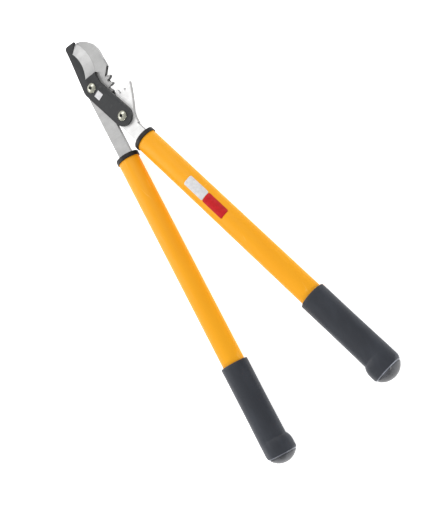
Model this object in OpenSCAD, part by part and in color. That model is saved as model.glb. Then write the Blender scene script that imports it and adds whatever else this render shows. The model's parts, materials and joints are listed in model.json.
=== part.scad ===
// Long-handled geared bypass cutter, lying on its back with the jaws closed.
// The blade and its handle are one lever, the second handle is the other lever,
// and gear teeth make the two levers turn against each other on a hook plate.
// Origin: on the blade's pivot axis, level with the surface the cutter lies on.
// +Y points along the jaws, -Y along the blade's handle, +Z away from the bench.

/* [Levers] */
// Distance between the two pivot axes
pivot_distance = 70; // [68:0.5:72]
// Direction from the blade pivot to the lever pivot, below the +X axis
pivot_slope = 69.5; // [68:0.5:71]
// Angle between the two handles when the jaws are closed
handle_spread = 19.4; // [19:0.1:21]
// How far each handle's centre line lies beside its pivot
handle_offset = 4.5; // [4:0.1:5]
// Thickness of the blade and the lever
steel_t = 6; // [5:0.5:6]
// Width of the two tangs
tang_w = 22; // [20:0.5:23]

/* [Gear teeth] */
// Teeth that a full circle of the blade's gear would have
blade_teeth = 18; // [18:1:18]
// Teeth that a full circle of the lever's gear would have
lever_teeth = 22; // [22:1:22]
// Pressure angle of the tooth flanks
pressure_angle = 25; // [22:1:25]
// Play between two teeth in mesh, along the pitch circle
backlash = 0.5; // [0.3:0.1:0.8]

/* [Jaws] */
// Thickness of the hook plate
hook_t = 5; // [4:0.5:5]
// Thickness of the rear link plate
rear_t = 4; // [3:0.5:4]
// How far the hook reaches past the blade pivot
hook_reach = 78.8; // [70:0.1:80]
// Radius of the blade's rounded back
back_r = 36.4; // [35:0.1:37]

/* [Handles] */
// Width of the oval tube, across the handle
tube_w = 36; // [34:0.5:36]
// Height of the oval tube
tube_h = 28; // [27:0.5:28]
// Radius of the tube's two narrow ends
tube_end_r = 9; // [8:0.5:10]
// Wall of the tube
tube_wall = 1.5; // [1.2:0.1:2]
// Bare length of tube between the ferrule's face and the grip
tube_bare = 346.5; // [300:0.5:380]
// Length of the rubber grip
grip_len = 144; // [120:0.5:160]
// Thickness of the rubber over the tube
grip_wall = 3.75; // [3:0.25:4]
// Length of the rounded end cap
cap_len = 11; // [8:1:12]

/* [Fasteners] */
// Radius of the pivot bolts
bolt_r = 4; // [3.5:0.5:4]
// Radius of the bolt heads
head_r = 7.8; // [7:0.1:8.5]
// Height of the bolt heads
head_h = 4.2; // [4:0.1:5]
// Outer radius of the sleeves that the levers turn on
sleeve_r = 7; // [6:0.5:7.5]

/* [Hidden] */
$fn = 64;

eps = 0.01;
slack = 0.15;         // between flat faces that slide on each other
turn_gap = 0.05;      // radial, between a sleeve and what turns on it
seat_gap = 0.1;       // between a handle's nested pieces

// Heights, from the bench up
cap_grow = 5.5;                          // how far the end cap stands out of the tube
mid_z = tube_h / 2 + cap_grow;
steel_z = mid_z - steel_t / 2;
hook_z = mid_z + steel_t / 2 + slack;
rear_z = steel_z - slack - rear_t;
washer_t = 1.5;
nut_h = 6.5;
nut_flats = 13;

// Pivots and handle frames
lever_pivot = pivot_distance * [cos(pivot_slope), -sin(pivot_slope)];
blade_handle_start = 118;                // pivot to the ferrule's face
lever_handle_start = 45;

// Gears
gear_module = 2 * pivot_distance / (blade_teeth + lever_teeth);
blade_pitch_r = gear_module * blade_teeth / 2;
lever_pitch_r = gear_module * lever_teeth / 2;
addendum = gear_module;
dedendum = 1.25 * gear_module;
mesh_angle = -pivot_slope;               // from the blade pivot towards the lever pivot

// Jaws
plate_r = 15.3;                          // round end of both plates at the blade pivot
plate_end_r = 15.6;                      // and at the lever pivot
jaw_heel_y = 17.4;                       // where the ground edges begin
hook_edge_c = [-46.5, 40];
hook_edge_r = 65.3;
hook_grind_w = 16;
blade_edge_c = [74, 43];
blade_edge_r = 73;
blade_grind_w = 9;
back_c = [0.4, 40.9];
back_corner = [37.4, 16];

// Handles
block_len = 46;
tang_in = 40;                            // how far a tang reaches past the ferrule's face
ferrule_len = 7;
ferrule_face = 2.5;
ferrule_grow = 1.6;
pin_r = 2;
pin_places = [16, 32];
plug_len = 18;
flare_in = 3;                            // the flare's shift towards the other handle
flare_len = 13;                          // of its full size, up to the cap
flare_r = 20.5;                          // of the ball that shapes the flare's shoulder
end_ball_r = 25;                         // rounds the grip's end and the cap
tube_end = tube_bare + grip_len - 8;     // the tube stops short of the rounded end
label_w = 16;
upper_label_at = [102.5, 140.5];         // along the handle from the ferrule's face
lower_label_at = [141, 181];
label_side = 2.8;

// ---------- helpers ----------

function polar(r, a) = [r * cos(a), r * sin(a)];

// Points of an arc from p to q that bulges to the left of p->q by sag
function arc_through(p, q, sag, n = 12) =
    let (chord = norm(q - p),
         r = (chord * chord / 4 + sag * sag) / (2 * abs(sag)),
         dir = (q - p) / chord,
         left = [-dir.y, dir.x] * sign(sag),
         c = (p + q) / 2 - left * (r - abs(sag)),
         a0 = atan2(p.y - c.y, p.x - c.x),
         turn = -2 * asin(chord / 2 / r) * sign(sag))
    [for (i = [0 : n]) c + polar(r, a0 + turn * i / n)];

// Slice of a disc of radius r, from one angle round to another
module sector(r, from, to) {
    steps = 24;
    polygon(concat([[0, 0]],
        [for (i = [0 : steps]) polar(r, from + (to - from) * i / steps)]));
}

function involute(a) = tan(a) - a * PI / 180;

// Half the angle that a tooth spans at radius r
function half_tooth(r, teeth, pitch_r) =
    let (base_r = pitch_r * cos(pressure_angle),
         at = r > base_r ? acos(base_r / r) : 0)
    90 / teeth - (backlash / 2 / pitch_r) * 90 / PI
        + (involute(pressure_angle) - involute(at)) * 180 / PI;

// One gear tooth that points along +X
module tooth(teeth, pitch_r) {
    steps = 6;
    root_r = pitch_r - dedendum;
    tip_r = pitch_r + addendum;
    radii = [for (i = [0 : steps]) root_r + (tip_r - root_r) * i / steps];
    foot = polar(root_r - 2, half_tooth(root_r, teeth, pitch_r));
    polygon(concat(
        [[foot.x, -foot.y]],
        [for (r = radii) polar(r, -half_tooth(r, teeth, pitch_r))],
        [for (i = [steps : -1 : 0]) polar(radii[i], half_tooth(radii[i], teeth, pitch_r))],
        [foot]));
}

// The tube's four-arc oval, grown all round by grow
module oval(grow = 0) {
    end_c = tube_w / 2 - tube_end_r;
    side_r = (end_c * end_c + tube_h * tube_h / 4 - tube_end_r * tube_end_r)
        / (tube_h - 2 * tube_end_r);
    side_c = side_r - tube_h / 2;
    join_x = end_c * (side_r + grow) / (side_r - tube_end_r);
    for (s = [-1, 1])
        translate([s * end_c, 0])
            circle(tube_end_r + grow);
    intersection() {
        translate([0, -side_c])
            circle(side_r + grow, $fn = 128);
        translate([0, side_c])
            circle(side_r + grow, $fn = 128);
        square([2 * join_x, 2 * tube_h], center = true);
    }
}

// Moves its children from the handle's own frame, with +Z from the ferrule's face
// towards the grip and +X to the right of the cutter, to the blade's handle
module on_blade_handle() {
    translate([-handle_offset, -blade_handle_start, mid_z])
        rotate([90, 0, 0])
            children();
}

// The same for the lever's handle
module on_lever_handle() {
    translate([lever_pivot.x, lever_pivot.y, mid_z])
        rotate([0, 0, handle_spread])
            translate([-handle_offset, -lever_handle_start, 0])
                rotate([90, 0, 0])
                    children();
}

module at_lever_pivot() {
    translate([lever_pivot.x, lever_pivot.y, 0])
        children();
}

module flat(z, t) {
    translate([0, 0, z])
        linear_extrude(t)
            children();
}

module bore(r, z = -1, h = 100) {
    translate([0, 0, z])
        cylinder(r = r, h = h);
}

// ---------- the fixed head ----------

// Link between the pivots: two round ends joined by their tangents
module link_outline() {
    lean = asin((plate_end_r - plate_r) / pivot_distance);
    steps = 24;
    blade_from = mesh_angle + 90 + lean;
    blade_sweep = 180 - 2 * lean;
    polygon(concat(
        [for (i = [0 : steps]) polar(plate_r, blade_from + blade_sweep * i / steps)],
        [for (i = [0 : steps]) lever_pivot
            + polar(plate_end_r, blade_from + blade_sweep + (180 + 2 * lean) * i / steps)]));
}

// The hook above the blade pivot; its right side is left wide for the grinding cut
module hook_outline() {
    polygon(concat(
        [[-plate_r + 0.1, 2], [-13.8, 22], [-10.9, 60]],
        arc_through([-10.5, 73.6], [-5.6, hook_reach], 1.4, 6),
        [[8.6, hook_reach - 0.8], [16, 72], [27, 50], [27, 24], [25, jaw_heel_y + 0.8],
            [16.4, jaw_heel_y - 0.2], [15.8, 9], [16.2, 0], [0, -5]]));
}

module hook_plate() {
    tip_line_top = [8.2, hook_reach - 0.8];
    tip_line_foot = [-3.8, 61.5];
    color([0.16, 0.16, 0.17])
    difference() {
        union() {
            flat(hook_z, hook_t)
                link_outline();
            flat(hook_z, hook_t)
                hook_outline();
        }
        // the ground face falls from the front to the cutting edge at the back
        difference() {
            flat(hook_z - 1, hook_t + 2)
                polygon([[-20, jaw_heel_y], [60, jaw_heel_y], [60, 90], [19.3, 92],
                    tip_line_top, tip_line_foot, [-20, 53.5]]);
            translate([hook_edge_c.x, hook_edge_c.y, hook_z - 1])
                cylinder(r1 = hook_edge_r + hook_grind_w / hook_t,
                    r2 = hook_edge_r - hook_grind_w * (1 + 1 / hook_t), h = hook_t + 2, $fn = 256);
        }
        bore(bolt_r + turn_gap);
        at_lever_pivot()
            bore(bolt_r + turn_gap);
    }
}

module rear_plate() {
    color([0.16, 0.16, 0.17])
    difference() {
        flat(rear_z, rear_t)
            link_outline();
        bore(bolt_r + turn_gap);
        at_lever_pivot()
            bore(bolt_r + turn_gap);
    }
}

// Button head with a hex socket, shank down to the bench
module pivot_bolt() {
    head_z = hook_z + hook_t;
    socket_flats = 5;
    dome_r = (head_r * head_r + pow(head_h - 1, 2)) / (2 * (head_h - 1));
    color([0.72, 0.72, 0.66])
    difference() {
        union() {
            cylinder(r = bolt_r, h = head_z + eps);
            translate([0, 0, head_z])
                cylinder(r = head_r, h = 1);
            intersection() {
                translate([0, 0, head_z + head_h - dome_r])
                    sphere(dome_r);
                translate([0, 0, head_z + 1 - eps])
                    cylinder(r = head_r, h = head_h);
            }
        }
        translate([0, 0, head_z + 1.6])
            cylinder(r = socket_flats / 2 / cos(30), h = head_h, $fn = 6);
    }
}

module pivot_sleeve() {
    color([0.7, 0.55, 0.28])
    difference() {
        flat(rear_z + rear_t, hook_z - rear_z - rear_t)
            circle(sleeve_r);
        bore(bolt_r + turn_gap);
    }
}

module pivot_washer() {
    color([0.68, 0.68, 0.66])
    difference() {
        flat(rear_z - washer_t, washer_t)
            circle(8.2);
        bore(bolt_r + turn_gap);
    }
}

module pivot_nut() {
    color([0.68, 0.68, 0.66])
    difference() {
        translate([0, 0, rear_z - washer_t - nut_h])
            cylinder(r = nut_flats / 2 / cos(30), h = nut_h, $fn = 6);
        bore(bolt_r + turn_gap);
    }
}

module blade_bolt() pivot_bolt();
module lever_bolt() at_lever_pivot() pivot_bolt();
module blade_sleeve() pivot_sleeve();
module lever_sleeve() at_lever_pivot() pivot_sleeve();
module blade_washer() pivot_washer();
module lever_washer() at_lever_pivot() pivot_washer();
module blade_nut() pivot_nut();
module lever_nut() at_lever_pivot() pivot_nut();

// Small blank sticker beside the blade pivot
module plate_badge() {
    color([0.93, 0.93, 0.95])
    translate([4.9, -16.4, hook_z + hook_t])
        rotate([0, 0, 90 - pivot_slope])
            linear_extrude(0.3)
                square([11, 11], center = true);
}

// ---------- the blade's lever ----------

// Rounded back, down to the corner above the first tooth gap; the left side is
// left wide for the grinding cut
module blade_body_outline() {
    tip = back_c + polar(back_r, 83);
    back_end = back_c + polar(back_r, -5);
    polygon(concat(
        arc_through(tip, back_end, back_r * (1 - cos(44)), 32),
        [back_corner, polar(blade_pitch_r - dedendum + 0.5, 10), [2, -3], [-8, 6],
            [-6, 40], [-2, 70]]));
}

// Hub and tang, notched beside the lever's teeth
module blade_tang_outline() {
    tang_right = tang_w / 2 - handle_offset;
    tang_left = -tang_w / 2 - handle_offset;
    tang_end = -blade_handle_start - tang_in;
    polygon(concat(
        [for (a = [60 : 10 : 180]) polar(plate_r - 1.4, a)],
        [[tang_left, -14], [tang_left, tang_end], [tang_right, tang_end], [tang_right, -52],
            [-4.5, -33], [-3.2, -20], [6, -5]]));
}

module blade() {
    color([0.72, 0.72, 0.72])
    difference() {
        union() {
            flat(steel_z, steel_t)
                blade_body_outline();
            flat(steel_z, steel_t)
                blade_tang_outline();
            flat(steel_z, steel_t)
                sector(blade_pitch_r - dedendum, 30, mesh_angle - 12);
            for (k = [0 : 3])
                rotate(mesh_angle + (k + 0.5) * 360 / blade_teeth)
                    flat(steel_z, steel_t)
                        tooth(blade_teeth, blade_pitch_r);
        }
        // ground edge: the cutting line is on the face that slides on the hook
        difference() {
            translate([-40, jaw_heel_y - 8, steel_z - 1])
                cube([75, 80, steel_t + 2]);
            translate([blade_edge_c.x, blade_edge_c.y, steel_z - 1])
                cylinder(r1 = blade_edge_r - blade_grind_w * (1 + 1 / steel_t),
                    r2 = blade_edge_r + blade_grind_w / steel_t, h = steel_t + 2, $fn = 256);
        }
        bore(sleeve_r + turn_gap);
        on_blade_handle()
            tang_pins();
    }
}

// ---------- the second lever ----------

// Horn whose tip meets the blade's heel when the jaws are wide open
module lever_horn_outline() {
    horn_tip = polar(52, 48.5);
    neck = [19.5, 1.5];
    neck_foot = [16.2, -21.9];
    hollow = arc_through(neck, neck_foot, -2, 8);
    polygon(concat([[-1, 1], polar(33, 58), polar(44, 53.5)],
        arc_through(horn_tip, neck, 0.8, 8),
        [for (i = [1 : 8]) hollow[i]]));
}

module lever_tang_outline() {
    tang_left = -handle_offset - tang_w / 2;
    tang_right = -handle_offset + tang_w / 2;
    tang_end = -lever_handle_start - tang_in;
    rotate(handle_spread)
        polygon(concat(
            [for (a = [0 : 10 : 180]) polar(14, a)],
            [[tang_left, -4], [tang_left, tang_end], [tang_right, tang_end],
                [tang_right, -26], [12.5, -6]]));
}

module lever() {
    color([0.86, 0.86, 0.85])
    difference() {
        at_lever_pivot()
            union() {
                flat(steel_z, steel_t)
                    lever_tang_outline();
                flat(steel_z, steel_t)
                    lever_horn_outline();
                flat(steel_z, steel_t)
                    sector(lever_pitch_r - dedendum, 52, 180 + mesh_angle + 12);
                for (k = [-3 : 0])
                    rotate(180 + mesh_angle + k * 360 / lever_teeth)
                        flat(steel_z, steel_t)
                            tooth(lever_teeth, lever_pitch_r);
            }
        at_lever_pivot()
            bore(sleeve_r + turn_gap);
        on_lever_handle()
            tang_pins();
    }
}

// ---------- one handle, in its own frame ----------

module tang_pins(grow = 0) {
    pin_len = tube_h - 2 * tube_wall - 3;
    for (z = pin_places)
        translate([0, 0, z])
            rotate([90, 0, 0])
                cylinder(r = pin_r + grow, h = pin_len, center = true);
}

module handle_tube() {
    color([0.98, 0.66, 0.13])
    difference() {
        flat(ferrule_face, tube_end - ferrule_face)
            oval();
        flat(ferrule_face - 1, tube_end)
            oval(-tube_wall);
    }
}

module handle_ferrule() {
    color([0.14, 0.13, 0.13])
    difference() {
        flat(0, ferrule_len)
            oval(ferrule_grow);
        flat(ferrule_face, ferrule_len)
            oval(seat_gap);
        flat(-1, ferrule_len)
            square([tang_w + 1.4, steel_t + 0.4], center = true);
    }
}

// Moulded block that locks the tang inside the tube
module tang_block() {
    color([0.2, 0.2, 0.2])
    difference() {
        flat(ferrule_face + seat_gap, block_len)
            oval(-tube_wall - seat_gap);
        flat(0, tang_in + seat_gap)
            square([tang_w + 1.4, steel_t + 0.4], center = true);
        tang_pins(seat_gap);
    }
}

// The oval at the flared end, pushed towards the other handle
module flare_outline() {
    translate([flare_in, 0])
        oval(cap_grow);
}

// Ball that the grip's end and the cap are both rounded to
module end_ball() {
    translate([flare_in, 0, tube_bare + grip_len + cap_len - end_ball_r])
        sphere(end_ball_r);
}

// Rubber sleeve whose end flares towards +X, where the other handle is
module handle_grip() {
    grip_end = tube_bare + grip_len;
    full_z = grip_end - flare_len;
    round_z = grip_end + cap_len - end_ball_r + 2;
    color([0.17, 0.18, 0.19])
    difference() {
        union() {
            flat(tube_bare, round_z - tube_bare)
                oval(grip_wall);
            intersection() {
                flat(full_z - flare_r, flare_r + eps)
                    flare_outline();
                translate([tube_w / 2 + cap_grow + flare_in - flare_r, 0, full_z])
                    sphere(flare_r);
            }
            intersection() {
                union() {
                    flat(round_z - 1, grip_end - round_z + 1)
                        oval(grip_wall);
                    flat(full_z, flare_len)
                        flare_outline();
                }
                end_ball();
            }
        }
        flat(tube_bare - 1, tube_end + seat_gap - tube_bare + 1)
            oval(seat_gap);
        flat(tube_end, grip_end - tube_end + 1)
            oval(-tube_wall);
    }
}

// Domed cap with a plug that fills the tube's open end
module grip_cap() {
    start = tube_bare + grip_len;
    color([0.22, 0.23, 0.24])
    union() {
        intersection() {
            flat(start, cap_len + 1)
                flare_outline();
            end_ball();
        }
        flat(start - plug_len, plug_len + 1)
            oval(-tube_wall - seat_gap);
    }
}

// Thin sticker on the front of a tube, between two places along it
module tube_label(span) {
    rise = tube_h / 2 + 1;
    intersection() {
        difference() {
            flat(span[0], span[1] - span[0])
                oval(0.3);
            flat(span[0] - 1, span[1] - span[0] + 2)
                oval(0.05);
        }
        translate([label_side - label_w / 2, 0, 0])
            cube([label_w, rise, 400]);
    }
}

module blade_tube() on_blade_handle() handle_tube();
module lever_tube() on_lever_handle() handle_tube();
module blade_ferrule() on_blade_handle() handle_ferrule();
module lever_ferrule() on_lever_handle() handle_ferrule();
module blade_tang_block() on_blade_handle() tang_block();
module lever_tang_block() on_lever_handle() tang_block();
module blade_tang_pins() color([0.6, 0.6, 0.6]) on_blade_handle() tang_pins(-turn_gap);
module lever_tang_pins() color([0.6, 0.6, 0.6]) on_lever_handle() tang_pins(-turn_gap);
module blade_grip() on_blade_handle() handle_grip();
module lever_grip() on_lever_handle() mirror([1, 0, 0]) handle_grip();
module blade_grip_cap() on_blade_handle() grip_cap();
module lever_grip_cap() on_lever_handle() mirror([1, 0, 0]) grip_cap();
module upper_label() color([0.9, 0.9, 0.88]) on_lever_handle() tube_label(upper_label_at);
module lower_label() color([0.75, 0.1, 0.12]) on_lever_handle() tube_label(lower_label_at);

hook_plate();
rear_plate();
blade();
lever();
blade_bolt();
lever_bolt();
blade_sleeve();
lever_sleeve();
blade_washer();
lever_washer();
blade_nut();
lever_nut();
plate_badge();
blade_tube();
lever_tube();
blade_ferrule();
lever_ferrule();
blade_tang_block();
lever_tang_block();
blade_tang_pins();
lever_tang_pins();
blade_grip();
lever_grip();
blade_grip_cap();
lever_grip_cap();
upper_label();
lower_label();
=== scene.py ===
"""Looks of the long-handled geared cutter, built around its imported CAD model.

Lengths are in metres, in the CAD frame: the cutter lies on its back on the floor at
z = 0, with the blade's pivot axis at x = y = 0 and the jaws pointing along +Y.
A handle has a frame of its own, with +Z from its ferrule's face towards the grip,
+Y up from the floor and +X to the right of the cutter.
"""

import json
import math

import bmesh
import bpy
from mathutils import Matrix, Vector

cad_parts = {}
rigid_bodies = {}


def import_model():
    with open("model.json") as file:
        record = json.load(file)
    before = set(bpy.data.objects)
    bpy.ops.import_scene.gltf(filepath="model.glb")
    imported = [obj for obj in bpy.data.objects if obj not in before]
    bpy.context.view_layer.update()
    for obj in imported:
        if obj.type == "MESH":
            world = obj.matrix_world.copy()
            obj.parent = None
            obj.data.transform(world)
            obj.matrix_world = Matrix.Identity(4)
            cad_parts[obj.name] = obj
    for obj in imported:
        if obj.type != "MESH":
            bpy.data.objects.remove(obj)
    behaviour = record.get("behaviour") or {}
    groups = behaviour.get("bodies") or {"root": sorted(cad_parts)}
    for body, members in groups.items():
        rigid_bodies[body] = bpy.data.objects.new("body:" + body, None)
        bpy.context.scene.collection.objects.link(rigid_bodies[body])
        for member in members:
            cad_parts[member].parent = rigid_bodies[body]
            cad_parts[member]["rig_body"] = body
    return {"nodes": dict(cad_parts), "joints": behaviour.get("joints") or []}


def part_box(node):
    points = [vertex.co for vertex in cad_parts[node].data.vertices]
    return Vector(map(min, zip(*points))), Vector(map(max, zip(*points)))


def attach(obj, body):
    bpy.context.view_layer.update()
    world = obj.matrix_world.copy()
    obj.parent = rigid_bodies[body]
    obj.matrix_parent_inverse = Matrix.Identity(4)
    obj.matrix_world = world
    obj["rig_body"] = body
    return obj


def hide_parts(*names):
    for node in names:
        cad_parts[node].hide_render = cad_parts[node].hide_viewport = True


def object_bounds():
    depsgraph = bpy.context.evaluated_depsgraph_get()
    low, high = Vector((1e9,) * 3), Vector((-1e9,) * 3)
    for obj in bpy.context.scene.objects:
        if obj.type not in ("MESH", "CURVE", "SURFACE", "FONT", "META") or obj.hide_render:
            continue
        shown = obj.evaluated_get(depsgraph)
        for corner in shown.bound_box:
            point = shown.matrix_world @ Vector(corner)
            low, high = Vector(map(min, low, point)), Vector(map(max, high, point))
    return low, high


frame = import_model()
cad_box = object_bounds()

MM = 0.001
TAU = 2 * math.pi

# ---------- sizes repeated from the CAD source ----------

PIVOTS = {joint["name"]: Vector(joint["pos_m"]) for joint in frame["joints"]}
BLADE_PIVOT = PIVOTS["blade_pivot"]
LEVER_PIVOT = PIVOTS["lever_pivot"]
BLADE_TEETH = 18
LEVER_TEETH = 22
GEAR_SHARE = BLADE_TEETH / (BLADE_TEETH + LEVER_TEETH)  # of the way from the blade's pivot

HANDLE_SPREAD = math.radians(19.4)
HANDLE_OFFSET = 4.5 * MM
BLADE_HANDLE_START = 118 * MM
LEVER_HANDLE_START = 45 * MM

TUBE_W = 36 * MM
TUBE_H = 28 * MM
TUBE_END_R = 9 * MM
TUBE_WALL = 1.5 * MM
TUBE_BARE = 346.5 * MM
GRIP_LEN = 144 * MM
GRIP_WALL = 3.75 * MM
GRIP_END = TUBE_BARE + GRIP_LEN
FLARE_FULL = GRIP_END - 13 * MM  # where the flare reaches its full size
FLARE_R = 20.5 * MM
FLARE_IN = 3 * MM
CAP_GROW = 5.5 * MM
CAP_LEN = 11 * MM
TUBE_END = GRIP_END - 8 * MM
END_BALL_R = 25 * MM  # rounds the grip's end and the cap
END_BALL_Z = GRIP_END + CAP_LEN - END_BALL_R
PLUG_LEN = 18 * MM

PLUG_R = 1.2 * MM
CAP_EDGE = 0.5 * MM

FERRULE_LEN = 7 * MM
FERRULE_FACE = 2.5 * MM
FERRULE_GROW = 1.6 * MM
FERRULE_IN = 2 * MM  # how far its front face reaches inside the oval
SEAT_GAP = 0.1 * MM
SLOT_W = 23.4 * MM
SLOT_H = 6.4 * MM

LABEL_W = 16 * MM
LABEL_SIDE = 2.8 * MM
UPPER_LABEL_AT = (102.5 * MM, 140.5 * MM)
LOWER_LABEL_AT = (141 * MM, 181 * MM)
LABEL_LIFT = 0.28 * MM
LABEL_CORNER = 1.5 * MM
LABEL_FILM = 0.2 * MM

BOLT_R = 4 * MM
HEAD_R = 7.8 * MM
HEAD_H = 4.2 * MM
HEAD_RIM = 1 * MM  # upright part of the head, under its dome
SOCKET_FLATS = 5 * MM
SOCKET_DEPTH = 2.6 * MM

# ---------- how finely and how softly the meshes are made ----------

RING = 96  # points round an oval or a bolt
SHARP_ANGLE = math.radians(32)  # a steeper edge is shaded as a corner
EASED_ANGLE = math.radians(33)  # a steeper edge of a CAD shape is rounded
FLAT_ANGLE = math.radians(0.4)  # faces that turn less than this are one face
WELD = 0.002 * MM
FLAT_TILT = 0.995  # upward part of a flat face's normal, at least
GROUND_TILT = 0.3  # and of a ground face's
GEAR_REACH = 46 * MM  # the blade's sides this close to where the gears meet get a painted shade

# ---------- picture ----------

CAMERA_AT = (0.6088, -0.5505, 1.1556)
CAMERA_RIGHT = Vector((0.75616, -0.4571, -0.46827))
CAMERA_UP = Vector((0.48783, 0.87072, -0.06221))
CAMERA_LENS = 63.48
SENSOR_HEIGHT = 36
LIT_POINT = Vector((0.046, -0.316, 0.02))  # the cutter's middle, which the lights face
FLOOR_HALF = 3.0
FLOOR_GAP = 0.2 * MM


# ---------- looks ----------

class Look:
    """One procedural material: a Principled shader and the nodes that feed it."""

    def __init__(self, name, **constants):
        self.material = bpy.data.materials.new(name)
        self.material.use_nodes = True
        self.tree = self.material.node_tree
        self.shader = self.tree.nodes["Principled BSDF"]
        self.coords = self.tree.nodes.new("ShaderNodeTexCoord").outputs["Object"]
        for socket, value in constants.items():
            self.shader.inputs[socket.replace("_", " ")].default_value = value

    def add(self, kind, **links):
        """A node of that kind, with each named input linked or set."""
        node = self.tree.nodes.new("ShaderNode" + kind)
        for socket, value in links.items():
            self.feed(node.inputs[socket.replace("_", " ")], value)
        return node

    def feed(self, socket, value):
        if isinstance(value, bpy.types.NodeSocket):
            self.tree.links.new(value, socket)
        else:
            socket.default_value = value

    def noise(self, size, stretch=(1, 1, 1), turn=0.0, detail=3.0, seed=(0, 0, 0)):
        """Noise with features about size across, stretched along the turned axes."""
        place = self.add("Mapping", Vector=self.coords, Rotation=(0, 0, turn), Location=seed,
                         Scale=[1 / s for s in stretch])
        texture = self.add("TexNoise", Vector=place.outputs[0], Scale=1 / size, Detail=detail)
        return texture.outputs["Fac"]

    def scratches(self, size, stretch, turn=0.0):
        """Thin lines where a stretched noise crosses its middle value: 1 on a line."""
        field = self.noise(size, stretch, turn, 2.0)
        off = self.math("ABSOLUTE", self.math("SUBTRACT", field, 0.5))
        return self.range(off, 0.0, 0.006, 1.0, 0.0)

    def math(self, operation, a, b=0.0):
        node = self.tree.nodes.new("ShaderNodeMath")
        node.operation = operation
        self.feed(node.inputs[0], a)
        self.feed(node.inputs[1], b)
        return node.outputs[0]

    def range(self, value, low, high, to_low, to_high):
        node = self.add("MapRange", Value=value, From_Min=low, From_Max=high,
                        To_Min=to_low, To_Max=to_high)
        return node.outputs[0]

    def mix(self, factor, a, b):
        """Colour a where factor is 0, and b where it is 1."""
        node = self.tree.nodes.new("ShaderNodeMix")
        node.data_type = "RGBA"
        for i, value in ((0, factor), (6, a), (7, b)):
            self.feed(node.inputs[i], value)
        return node.outputs[2]

    def bump(self, height, depth):
        """Adds a relief of that depth, on top of any earlier one."""
        node = self.add("Bump", Height=height, Distance=depth)
        normal = self.shader.inputs["Normal"]
        if normal.is_linked:
            self.feed(node.inputs["Normal"], normal.links[0].from_socket)
        self.feed(normal, node.outputs[0])

    def colour(self, value):
        self.feed(self.shader.inputs["Base Color"], value)

    def roughness(self, value):
        self.feed(self.shader.inputs["Roughness"], value)


def grey(value):
    return (value, value, value, 1)


def painted_tube():
    """Amber powder paint: faint orange peel, uneven gloss and a few hairline scuffs."""
    look = Look("amber_paint", Specular_IOR_Level=0.22)
    clouds = look.noise(45 * MM, (1, 3, 1), detail=2)
    scuffs = look.scratches(18 * MM, (1, 9, 1))
    patches = look.range(look.noise(30 * MM, seed=(3, 1, 2)), 0.5, 0.62, 0, 0.35)
    marks = look.math("MULTIPLY", scuffs, patches)
    paint = look.mix(clouds, (0.84, 0.335, 0.005, 1), (0.89, 0.4, 0.009, 1))
    look.colour(look.mix(marks, paint, (0.98, 0.58, 0.14, 1)))
    look.roughness(look.range(look.noise(8 * MM), 0.3, 0.7, 0.38, 0.5))
    look.bump(look.noise(1.6 * MM, detail=1), 0.02 * MM)
    look.bump(marks, -0.02 * MM)
    return look.material


def grip_rubber():
    """Soft dark rubber: a fine skin grain, dusty patches and a faint length-wise drag."""
    look = Look("grip_rubber", Specular_IOR_Level=0.42, Sheen_Weight=0.12, Sheen_Roughness=0.4,
                Sheen_Tint=(0.55, 0.6, 0.75, 1))
    dust = look.range(look.noise(14 * MM, (1, 3, 1)), 0.42, 0.68, 0, 0.6)
    look.colour(look.mix(dust, (0.016, 0.0195, 0.028, 1), (0.028, 0.033, 0.045, 1)))
    look.roughness(look.range(look.noise(5 * MM, (1, 5, 1)), 0.3, 0.7, 0.4, 0.56))
    look.bump(look.noise(0.55 * MM, detail=2), 0.05 * MM)
    look.bump(look.noise(7 * MM, (1, 4, 1)), 0.12 * MM)
    return look.material


def cap_plastic(name="cap_plastic", low=0.03, high=0.06, roughness=0.26):
    """Smooth moulded plastic, rubbed shinier and paler in places."""
    look = Look(name, Specular_IOR_Level=0.6)
    rubbed = look.range(look.noise(9 * MM), 0.4, 0.65, 0, 1)
    look.colour(look.mix(rubbed, (low, low * 1.06, low * 1.25, 1),
                         (high, high * 1.06, high * 1.25, 1)))
    look.roughness(look.range(look.noise(3 * MM, seed=(2, 5, 1)), 0.3, 0.7,
                              roughness, roughness + 0.14))
    look.bump(look.noise(1.1 * MM), 0.02 * MM)
    return look.material


def black_plastic():
    """Moulded ferrule plastic with a fine spark-eroded grain."""
    look = Look("black_plastic", Specular_IOR_Level=0.3)
    worn = look.range(look.noise(4 * MM), 0.5, 0.7, 0, 0.7)
    look.colour(look.mix(worn, (0.011, 0.009, 0.009, 1), (0.024, 0.02, 0.019, 1)))
    look.roughness(look.range(look.noise(2 * MM), 0.3, 0.7, 0.36, 0.52))
    look.bump(look.noise(0.4 * MM, detail=2), 0.03 * MM)
    return look.material


def black_coating(name="black_coating", wear=0.0):
    """Satin coating with fine grain and hairlines; wear lets the steel show through."""
    look = Look(name, Specular_IOR_Level=0.4)
    tone = look.mix(look.noise(12 * MM), (0.016, 0.017, 0.019, 1), (0.026, 0.0275, 0.03, 1))
    hairs = look.math("MULTIPLY", look.scratches(9 * MM, (7, 1, 1), math.radians(25)),
                      look.range(look.noise(13 * MM, seed=(4, 0, 1)), 0.5, 0.6, 0, 0.5))
    tone = look.mix(hairs, tone, grey(0.09))
    if wear:
        bare = look.range(look.noise(2.4 * MM, detail=5),
                          0.62 - wear * 0.2, 0.68 - wear * 0.2, 0, 1)
        tone = look.mix(bare, tone, grey(0.3))
        look.feed(look.shader.inputs["Metallic"], bare)
    look.colour(tone)
    look.roughness(look.range(look.noise(3 * MM), 0.3, 0.7, 0.34, 0.5))
    look.bump(look.noise(0.7 * MM, detail=2), 0.03 * MM)
    return look.material


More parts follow.
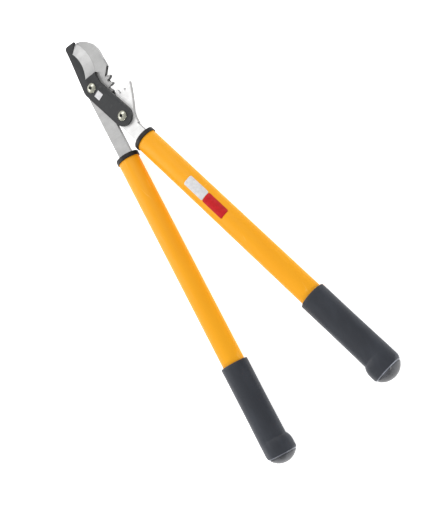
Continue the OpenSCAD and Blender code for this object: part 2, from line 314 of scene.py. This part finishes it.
def ground_metal(name, tone, turn, roughness=0.36, metallic=0.75):
    """Ground or brushed steel, with its fine lines running along the turned X axis."""
    look = Look(name, Metallic=metallic)
    lines = look.noise(0.16 * MM, (90, 1, 1), turn, 4)
    clouds = look.noise(11 * MM, seed=(1, 7, 3))
    dark, light = grey(tone * 0.86), grey(tone * 1.1)
    blend = look.math("MULTIPLY_ADD", lines, 0.6)
    look.feed(blend.node.inputs[2], look.math("MULTIPLY", clouds, 0.4))
    look.colour(look.mix(look.range(blend, 0.35, 0.65, 0, 1), dark, light))
    look.roughness(look.range(look.noise(4 * MM, (4, 1, 1), turn), 0.3, 0.7,
                              roughness - 0.05, roughness + 0.1))
    look.bump(lines, 0.012 * MM)
    return look.material


def cut_side(name, tone):
    """Sawn and hardened side of a plate, in the given tone, with lines through the thickness; a
    low tone paints shade on it.
    """
    look = Look(name, Metallic=0.6)
    lines = look.noise(0.5 * MM, (1, 1, 40), 0, 3)
    look.colour(look.mix(look.range(lines, 0.35, 0.65, 0, 1), grey(tone * 0.75), grey(tone * 1.2)))
    look.roughness(look.range(look.noise(2 * MM), 0.3, 0.7, 0.42, 0.62))
    look.bump(lines, 0.02 * MM)
    return look.material


def plated(name, tone):
    """Zinc-plated turned part: faintly mottled, with smears of handling dirt."""
    look = Look(name, Metallic=1.0)
    dirt = look.range(look.noise(2.5 * MM, detail=3), 0.45, 0.75, 0, 0.35)
    look.colour(look.mix(dirt, (*tone, 1), [c * 0.45 for c in tone] + [1]))
    look.roughness(look.range(look.noise(1.8 * MM, seed=(5, 2, 2)), 0.3, 0.7, 0.14, 0.24))
    look.bump(look.noise(0.6 * MM), 0.006 * MM)
    return look.material


def sticker(name, low, high):
    """Printed film: slightly uneven ink, small wrinkles and a glossy face."""
    look = Look(name, Specular_IOR_Level=0.22)
    look.colour(look.mix(look.range(look.noise(5 * MM), 0.35, 0.65, 0, 1), (*low, 1), (*high, 1)))
    look.roughness(look.range(look.noise(2 * MM), 0.3, 0.7, 0.26, 0.4))
    look.bump(look.noise(3 * MM, (1, 2, 1)), 0.03 * MM)
    return look.material


def floor_paper():
    """Pale seamless paper, with a glow of its own so that it stays near white."""
    look = Look("floor_paper", Roughness=0.9, Specular_IOR_Level=0.0, Emission_Strength=0.78,
                Emission_Color=grey(1.0))
    look.colour(look.mix(look.noise(60 * MM), grey(0.8), grey(0.82)))
    return look.material


# ---------- mesh helpers ----------

def rounded(corners, closed=False, steps=5):
    """Profile through (along, out, radius) corners, with each corner rounded to its radius."""
    points = []
    count = len(corners)
    for i, (along, out, radius) in enumerate(corners):
        here = Vector((along, out))
        if not radius or (not closed and i in (0, count - 1)):
            points.append(here)
            continue
        before = (Vector(corners[i - 1][:2]) - here).normalized()
        after = (Vector(corners[(i + 1) % count][:2]) - here).normalized()
        half = before.angle(after) / 2
        middle = here + (before + after).normalized() * (radius / math.sin(half))
        start = here + before * (radius / math.tan(half)) - middle
        end = here + after * (radius / math.tan(half)) - middle
        for k in range(steps + 1):
            points.append(middle + start.normalized().slerp(end.normalized(), k / steps) * radius)
    return points


def facing(i):
    """Direction in which point i of an oval faces."""
    angle = TAU * (i + 0.5) / RING
    return math.cos(angle), math.sin(angle)


def oval(grow):
    """Points of the tube's four-arc oval grown by grow, spaced by the way they face."""
    end_c = TUBE_W / 2 - TUBE_END_R
    side_r = (end_c ** 2 + TUBE_H ** 2 / 4 - TUBE_END_R ** 2) / (TUBE_H - 2 * TUBE_END_R)
    side_c = side_r - TUBE_H / 2
    join = math.atan2(side_c, end_c)
    ring = []
    for i in range(RING):
        x, y = facing(i)
        if abs(x) > math.cos(join):
            r = TUBE_END_R + grow
            ring.append(Vector((math.copysign(end_c, x) + r * x, r * y)))
        else:
            r = side_r + grow
            ring.append(Vector((r * x, r * y - math.copysign(side_c, y))))
    return ring


def slot_ring():
    """The tang's slot, with one point for each point of the oval."""
    ring = []
    for point in oval(0):
        reach = min(SLOT_W / 2 / max(abs(point.x), 1e-9), SLOT_H / 2 / max(abs(point.y), 1e-9))
        ring.append(point * reach)
    return ring


def at(ring, z, shift=0.0):
    """The flat ring as 3D points at height z, moved along X by shift."""
    return [Vector((p.x + shift, p.y, z)) for p in ring]


def make(name, mesh, body, looks, replaced=()):
    """Object around a mesh, riding on its body and standing for the replaced nodes."""
    piece = bpy.data.objects.new(name, mesh)
    bpy.context.scene.collection.objects.link(piece)
    for look in looks:
        mesh.materials.append(look)
    mesh.shade_smooth()
    mesh.set_sharp_from_angle(angle=SHARP_ANGLE)
    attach(piece, body)
    if replaced:
        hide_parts(*replaced)
    return piece


def skin(name, rings, wrap=False):
    """Mesh through equal rings of points; wrap joins the last to the first, else both close."""
    bm = bmesh.new()
    loops = [[bm.verts.new(p) for p in ring] for ring in rings]
    pairs = list(zip(loops, loops[1:] + loops[:1])) if wrap else list(zip(loops, loops[1:]))
    for lower, upper in pairs:
        for i in range(len(lower)):
            j = (i + 1) % len(lower)
            bm.faces.new((lower[i], lower[j], upper[j], upper[i]))
    if not wrap:
        bm.faces.new(list(reversed(loops[0])))
        bm.faces.new(loops[-1])
    bmesh.ops.recalc_face_normals(bm, faces=bm.faces)
    mesh = bpy.data.meshes.new(name)
    bm.to_mesh(mesh)
    bm.free()
    return mesh


def eased_copy(name, node, looks, width, meshing=0.0):
    """The CAD node's shape with its sharp edges rounded.

    looks are for its flat, its ground and its upright faces, then for its edges, and
    then for the upright faces that lie within meshing of where the two gears meet, which carry a
    painted shade.
    """
    pitch_point = BLADE_PIVOT.lerp(LEVER_PIVOT, GEAR_SHARE)
    bm = bmesh.new()
    bm.from_mesh(frame["nodes"][node].data)
    bmesh.ops.remove_doubles(bm, verts=bm.verts, dist=WELD)
    bmesh.ops.dissolve_limit(bm, angle_limit=FLAT_ANGLE, verts=bm.verts, edges=bm.edges)
    for face in bm.faces:
        tilt = abs(face.normal.z)
        face.material_index = 0 if tilt > FLAT_TILT else 1 if tilt > GROUND_TILT else 2
        # upright faces near where the gears meet get the last look, a painted shade
        if tilt < GROUND_TILT and (face.calc_center_median() - pitch_point).length < meshing:
            face.material_index = 4
    mesh = bpy.data.meshes.new(name)
    bm.to_mesh(mesh)
    bm.free()
    body = frame["nodes"][node]["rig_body"]
    piece = make(name, mesh, body, looks, [node])
    ease = piece.modifiers.new("eased_edges", "BEVEL")
    ease.width = width
    ease.segments = 2
    ease.limit_method = "ANGLE"
    ease.angle_limit = EASED_ANGLE
    ease.harden_normals = True
    if len(looks) > 3:
        ease.material = 3
    return piece


# ---------- handles ----------

def handle_frame(pivot, turn, start):
    return (Matrix.Translation(pivot) @ Matrix.Rotation(turn, 4, "Z")
            @ Matrix.Translation((-HANDLE_OFFSET, -start, 0))
            @ Matrix.Rotation(math.pi / 2, 4, "X"))


def grow_sleeve(name, profile):
    """Closed sleeve from a profile of (along the handle, growth of the oval)."""
    return skin(name, [at(oval(grow), z) for z, grow in profile], wrap=True)


def tube_mesh(name):
    edge = 0.3 * MM
    return grow_sleeve(name, rounded([
        (FERRULE_FACE, -TUBE_WALL, edge), (FERRULE_FACE, 0, edge),
        (TUBE_END, 0, edge), (TUBE_END, -TUBE_WALL, edge)], closed=True, steps=2))


def ferrule_mesh(name):
    """Cup over the tube's end, with a rounded rim and a slot for the tang."""
    back_edge, front_edge = 0.5 * MM, 1.3 * MM
    outer = rounded([
        (FERRULE_LEN, SEAT_GAP, 0), (FERRULE_LEN, FERRULE_GROW, back_edge),
        (0, FERRULE_GROW, front_edge), (0, -FERRULE_IN, 0)], steps=6)
    rings = [at(oval(grow), z) for z, grow in outer]
    rings += [at(slot_ring(), 0), at(slot_ring(), FERRULE_FACE),
              at(oval(SEAT_GAP), FERRULE_FACE)]
    return skin(name, rings, wrap=True)


def flare(z):
    """How far the grip has flared at z: a ball's shoulder, from 0 to 1 at its full size."""
    step = CAP_GROW + FLARE_IN - GRIP_WALL
    before = max(FLARE_FULL - z, 0)
    if before >= FLARE_R:
        return 0.0
    rise = math.sqrt(FLARE_R ** 2 - before ** 2) - (FLARE_R - step)
    return max(rise / step, 0.0)


def in_end_ball(ring, z, inward, slack=0.0):
    """The ring at z, with its points pulled into the ball that rounds the handle's end."""
    middle = Vector((inward * FLARE_IN, 0, z))
    reach = math.sqrt(END_BALL_R ** 2 - max(z - END_BALL_Z, 0) ** 2) - slack
    return [middle + (p - middle) * min(reach / (p - middle).length, 1) for p in ring]


def grip_ring(z, inward, slack=0.0):
    """The grip's outline at z: the plain oval and the flared one, whichever is wider."""
    share = flare(z)
    plain = at(oval(GRIP_WALL - slack), z)
    flared = at(oval(GRIP_WALL + (CAP_GROW - GRIP_WALL) * share - slack), z,
                inward * FLARE_IN * share)
    ring = []
    for i in range(RING):
        ring.append(max(plain[i], flared[i], key=Vector((*facing(i), 0)).dot))
    return in_end_ball(ring, z, inward, slack)


def grip_mesh(name, inward):
    """Rubber sleeve: rolled lip, a slight waist in the hand and a flare before the cap."""
    lip, waist, crease = 1.6 * MM, 0.25 * MM, 2.0 * MM
    lip_steps, hand_steps, flare_steps, crease_steps = 6, 30, 40, 5
    shoulder = FLARE_FULL - 14 * MM
    rings = [at(oval(SEAT_GAP), TUBE_BARE + lip)]
    for k in range(lip_steps + 1):
        turn = math.pi / 2 * k / lip_steps
        rings.append(at(oval(SEAT_GAP + (GRIP_WALL - SEAT_GAP) * math.sin(turn)),
                        TUBE_BARE + lip * (1 - math.cos(turn))))
    first, last = TUBE_BARE + lip, GRIP_END - crease
    for k in range(1, hand_steps + 1):
        z = first + (shoulder - first) * k / hand_steps
        rings.append(grip_ring(z, inward, waist * math.sin(math.pi * k / hand_steps)))
    for k in range(1, flare_steps + 1):
        rings.append(grip_ring(shoulder + (last - shoulder) * k / flare_steps, inward))
    for k in range(1, crease_steps + 1):
        turn = math.pi / 2 * k / crease_steps
        rings.append(grip_ring(last + crease * math.sin(turn), inward,
                               crease * (1 - math.cos(turn))))
    rings += [at(oval(-TUBE_WALL), GRIP_END), at(oval(-TUBE_WALL), TUBE_END),
              at(oval(SEAT_GAP), TUBE_END)]
    mesh = skin(name, rings, wrap=True)
    for face in mesh.polygons:  # the crease's faces get a pale colour: a painted highlight line along the grip's end
        if last - 0.3 * MM < face.center.z < GRIP_END - 0.01 * MM:
            face.material_index = 1
    return mesh


def cap_mesh(name, inward):
    """Plug inside the tube, and a dome over the handle's end."""
    edge_steps, dome_steps, top = 3, 22, math.radians(89)
    shift = inward * FLARE_IN
    plug = -TUBE_WALL - SEAT_GAP
    rings = [at(oval(grow), z) for z, grow in rounded([
        (GRIP_END - PLUG_LEN, plug - 6 * MM, 0), (GRIP_END - PLUG_LEN, plug, PLUG_R),
        (GRIP_END, plug, 0)])]
    for k in range(edge_steps + 1):
        turn = math.pi / 2 * k / edge_steps
        z = GRIP_END + CAP_EDGE * (1 - math.cos(turn))
        slack = CAP_EDGE * (1 - math.sin(turn))
        rings.append(in_end_ball(at(oval(CAP_GROW - slack), z, shift), z, inward, slack))
    first = math.asin((GRIP_END + CAP_EDGE - END_BALL_Z) / END_BALL_R)
    for k in range(1, dome_steps + 1):
        z = END_BALL_Z + END_BALL_R * math.sin(first + (top - first) * k / dome_steps)
        rings.append(in_end_ball(at(oval(CAP_GROW), z, shift), z, inward))
    return skin(name, rings)


def label_mesh(name, span):
    """Face of a film bent over the front of the tube, with rounded corners."""
    across, along = 28, 24
    face = [p for p in oval(LABEL_LIFT) if p.y > 0]
    face.sort(key=lambda p: p.x)

    def height(x):
        for a, b in zip(face, face[1:]):
            if a.x <= x <= b.x:
                return a.y + (b.y - a.y) * (x - a.x) / (b.x - a.x)
        return 0.0

    bm = bmesh.new()
    grid = []
    for i in range(along + 1):
        z = span[0] + (span[1] - span[0]) * i / along
        near = min(z - span[0], span[1] - z)
        cut = 0.0
        if near < LABEL_CORNER:
            cut = LABEL_CORNER - math.sqrt(LABEL_CORNER ** 2 - (LABEL_CORNER - near) ** 2)
        half = LABEL_W / 2 - cut
        row = []
        for k in range(across + 1):
            x = LABEL_SIDE + half * (2 * k / across - 1)
            row.append(bm.verts.new((x, height(x), z)))
        grid.append(row)
    for low, high in zip(grid, grid[1:]):
        for k in range(across):
            bm.faces.new((low[k], low[k + 1], high[k + 1], high[k]))
    bmesh.ops.recalc_face_normals(bm, faces=bm.faces)
    if sum(face.normal.y for face in bm.faces) < 0:
        bmesh.ops.reverse_faces(bm, faces=bm.faces)
    mesh = bpy.data.meshes.new(name)
    bm.to_mesh(mesh)
    bm.free()
    return mesh


def handle(prefix, place, inward):
    """One handle's tube, ferrule, grip and cap; inward is +1 or -1 for the flare's side."""
    parts = (
        ("tube", tube_mesh("tube"), ["amber_paint"]),
        ("ferrule", ferrule_mesh("ferrule"), ["black_plastic"]),
        ("grip", grip_mesh("grip", inward), ["grip_rubber", "painted_highlight_rim"]),
        ("grip_cap", cap_mesh("cap", inward), ["cap_plastic"]),
    )
    for part, mesh, names in parts:
        mesh.transform(place)
        make(f"{prefix}_{part}_piece", mesh, prefix + "_arm", pick(*names),
             [f"{prefix}_{part}"])


def labels(place):
    for name, span, slot in (("upper_label", UPPER_LABEL_AT, "white_sticker"),
                             ("lower_label", LOWER_LABEL_AT, "red_sticker")):
        mesh = label_mesh(name, span)
        mesh.transform(place)
        piece = make(name + "_film", mesh, "lever_arm", pick(slot), [name])
        film = piece.modifiers.new("film", "SOLIDIFY")
        film.thickness = LABEL_FILM
        film.offset = -1


# ---------- bolts ----------

def circle(radius):
    return [Vector((math.cos(TAU * i / RING), math.sin(TAU * i / RING))) * radius
            for i in range(RING)]


def hexagon(flats):
    """A hexagon with as many points as a circle, so that the two can be joined."""
    ring = []
    for point in circle(1.0):
        angle = math.atan2(point.y, point.x) % (TAU / 6) - TAU / 12
        ring.append(point * (flats / 2 / math.cos(angle)))
    return ring


def bolt_mesh(name, pivot, foot, seat):
    """Shank, and a domed button head with a rounded rim and a chamfered hex socket."""
    dome_h = HEAD_H - HEAD_RIM
    dome_r = (HEAD_R ** 2 + dome_h ** 2) / (2 * dome_h)
    dome_steps = 14
    tip, under, rim, chamfer = 0.5 * MM, 0.2 * MM, 0.45 * MM, 0.35 * MM
    rings = [at(circle(BOLT_R - tip), foot), at(circle(BOLT_R), foot + tip),
             at(circle(BOLT_R), seat), at(circle(HEAD_R - under), seat),
             at(circle(HEAD_R), seat + under), at(circle(HEAD_R), seat + HEAD_RIM - rim)]
    socket_r = SOCKET_FLATS / 2 / math.cos(TAU / 12) + chamfer
    for k in range(dome_steps + 1):
        out = HEAD_R + (socket_r - HEAD_R) * (k / dome_steps)
        up = math.sqrt(dome_r ** 2 - out ** 2) - (dome_r - HEAD_H)
        if k == 0:
            out, up = HEAD_R - rim * 0.3, up + rim * 0.1
        rings.append(at(circle(out), seat + up))
    top = seat + math.sqrt(dome_r ** 2 - socket_r ** 2) - (dome_r - HEAD_H)
    rings += [at(hexagon(SOCKET_FLATS + 0.15 * MM), top - 0.6 * chamfer),
              at(hexagon(SOCKET_FLATS), top - chamfer),
              at(hexagon(SOCKET_FLATS), top - SOCKET_DEPTH),
              at(circle(0.4 * MM), top - SOCKET_DEPTH - 0.5 * MM)]
    for ring in rings:
        for point in ring:
            point.x += pivot.x
            point.y += pivot.y
    mesh = skin(name, rings)
    # the socket's walls get the second look, a painted shade in the recess
    for face in mesh.polygons:
        out = (face.center - pivot).xy.length
        if out < socket_r and top - 2 * SOCKET_DEPTH < face.center.z < top - chamfer:
            face.material_index = 1
    return mesh


def bolts():
    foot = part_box("blade_bolt")[0].z
    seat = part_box("hook_plate")[1].z
    for prefix, pivot in (("blade", BLADE_PIVOT), ("lever", LEVER_PIVOT)):
        make(f"{prefix}_bolt_piece", bolt_mesh("bolt", pivot, foot, seat), "head",
             pick("bolt_steel", "painted_socket_shade"), [f"{prefix}_bolt"])


# ---------- stage ----------

def stage():
    bm = bmesh.new()
    bmesh.ops.create_grid(bm, x_segments=12, y_segments=12, size=FLOOR_HALF)
    mesh = bpy.data.meshes.new("floor")
    bm.to_mesh(mesh)
    bm.free()
    floor = bpy.data.objects.new("floor", mesh)
    floor.location.z = min(cad_box[0][2], 0) - FLOOR_GAP
    mesh.materials.append(floor_paper())
    bpy.context.scene.collection.objects.link(floor)


def area_light(name, towards, distance, size, power):
    """Soft box at a distance from the cutter's middle, facing it."""
    light = bpy.data.lights.new(name, "AREA")
    light.shape = "RECTANGLE"
    light.size, light.size_y = size
    light.energy = power
    lamp = bpy.data.objects.new(name, light)
    direction = Vector(towards).normalized()
    lamp.location = LIT_POINT + direction * distance
    lamp.rotation_euler = direction.to_track_quat("Z", "Y").to_euler()
    bpy.context.scene.collection.objects.link(lamp)


def studio():
    """White tent, brightest towards the left of the picture, and four soft lights."""
    world = bpy.data.worlds.new("studio")
    world.use_nodes = True
    tree = world.node_tree
    background = tree.nodes["Background"]
    background.inputs["Color"].default_value = (1.0, 0.995, 0.985, 1)
    coords = tree.nodes.new("ShaderNodeTexCoord")
    side = tree.nodes.new("ShaderNodeVectorMath")
    side.operation = "DOT_PRODUCT"
    side.inputs[1].default_value = Vector((-0.6, 0.5, 0.62)).normalized()
    tree.links.new(coords.outputs["Generated"], side.inputs[0])
    strength = tree.nodes.new("ShaderNodeMapRange")
    for socket, value in (("From Min", -0.5), ("From Max", 1), ("To Min", 0.42), ("To Max", 1.02)):
        strength.inputs[socket].default_value = value
    tree.links.new(side.outputs["Value"], strength.inputs["Value"])
    tree.links.new(strength.outputs[0], background.inputs["Strength"])
    bpy.context.scene.world = world
    area_light("key", (-0.8, 0.45, 0.55), 1.6, (1.1, 0.8), 7)
    area_light("top", (0.3, 1.0, 0.9), 1.7, (0.9, 0.9), 5)
    area_light("rim", (-0.45, -0.85, 0.42), 1.5, (0.4, 0.25), 3)
    area_light("fill", (0.75, -0.75, 0.42), 1.5, (0.5, 0.3), 4)
    bpy.context.scene.view_settings.view_transform = "Standard"


def camera():
    data = bpy.data.cameras.new("camera")
    data.sensor_fit = "VERTICAL"
    data.sensor_height = SENSOR_HEIGHT
    data.lens = CAMERA_LENS
    eye = bpy.data.objects.new("camera", data)
    back = CAMERA_RIGHT.cross(CAMERA_UP)
    eye.matrix_world = Matrix((CAMERA_RIGHT, CAMERA_UP, back)).transposed().to_4x4()
    eye.location = CAMERA_AT
    bpy.context.scene.collection.objects.link(eye)
    bpy.context.scene.camera = eye


# ---------- the whole cutter ----------

LOOKS = {
    "amber_paint": painted_tube(),
    "grip_rubber": grip_rubber(),
    "cap_plastic": cap_plastic(),
    # pale colour for the grip's crease: a painted highlight line
    "painted_highlight_rim": cap_plastic("painted_highlight_rim", 0.14, 0.3, 0.16),
    "black_plastic": black_plastic(),
    "black_coating": black_coating(),
    "worn_coating": black_coating("worn_coating", wear=0.55),
    "jaw_steel": ground_metal("jaw_steel", 0.5, math.radians(20), metallic=0.4),
    "ground_steel": ground_metal("ground_steel", 0.39, math.radians(90)),
    "bright_steel": ground_metal("bright_steel", 0.8, math.radians(109), 0.4, 0.4),
    "cut_side": cut_side("cut_side", 0.4),
    # near-black sides by the gear mesh: painted shade
    "painted_shade_side": cut_side("painted_shade_side", 0.07),
    # the lever's sides, much darker than its faces: painted shade on its thickness
    "painted_shade_lever_side": cut_side("painted_shade_lever_side", 0.34),
    "bolt_steel": plated("bolt_steel", (0.46, 0.46, 0.39)),
    # near-black inside the hex socket: painted shade
    "painted_socket_shade": black_coating("painted_socket_shade"),
    "bronze": plated("bronze", (0.6, 0.43, 0.18)),
    "white_sticker": sticker("white_sticker", (0.6, 0.6, 0.62), (0.72, 0.72, 0.74)),
    "red_sticker": sticker("red_sticker", (0.44, 0.004, 0.008), (0.55, 0.007, 0.014)),
}


def pick(*names):
    """The looks of those names, in that order."""
    return [LOOKS[name] for name in names]


def main():
    camera()
    studio()
    stage()
    handle("blade", handle_frame(BLADE_PIVOT, 0, BLADE_HANDLE_START), 1)
    lever_place = handle_frame(LEVER_PIVOT, HANDLE_SPREAD, LEVER_HANDLE_START)
    handle("lever", lever_place, -1)
    labels(lever_place)
    bolts()
    for node in ("hook_plate", "rear_plate"):
        eased_copy(node + "_piece", node,
                   pick("black_coating", "jaw_steel", "black_coating", "worn_coating"),
                   width=0.35 * MM)
    eased_copy("blade_piece", "blade",
               pick("ground_steel", "jaw_steel", "cut_side", "cut_side", "painted_shade_side"),
               width=0.2 * MM, meshing=GEAR_REACH)
    eased_copy("lever_piece", "lever",
               pick("bright_steel", "bright_steel", "painted_shade_lever_side"), width=0.25 * MM)
    eased_copy("plate_badge_film", "plate_badge",
               pick("white_sticker") * 3, width=0.1 * MM)
    for node in ("blade_nut", "lever_nut", "blade_washer", "lever_washer"):
        eased_copy(node + "_piece", node, pick("bolt_steel") * 3,
                   width=0.3 * MM)
    inner = {"sleeve": "bronze", "tang_block": "black_plastic", "tang_pins": "bolt_steel"}
    for prefix in ("blade", "lever"):
        for part, slot in inner.items():
            node = frame["nodes"][f"{prefix}_{part}"]
            node.data.materials.clear()
            node.data.materials.append(LOOKS[slot])


main()
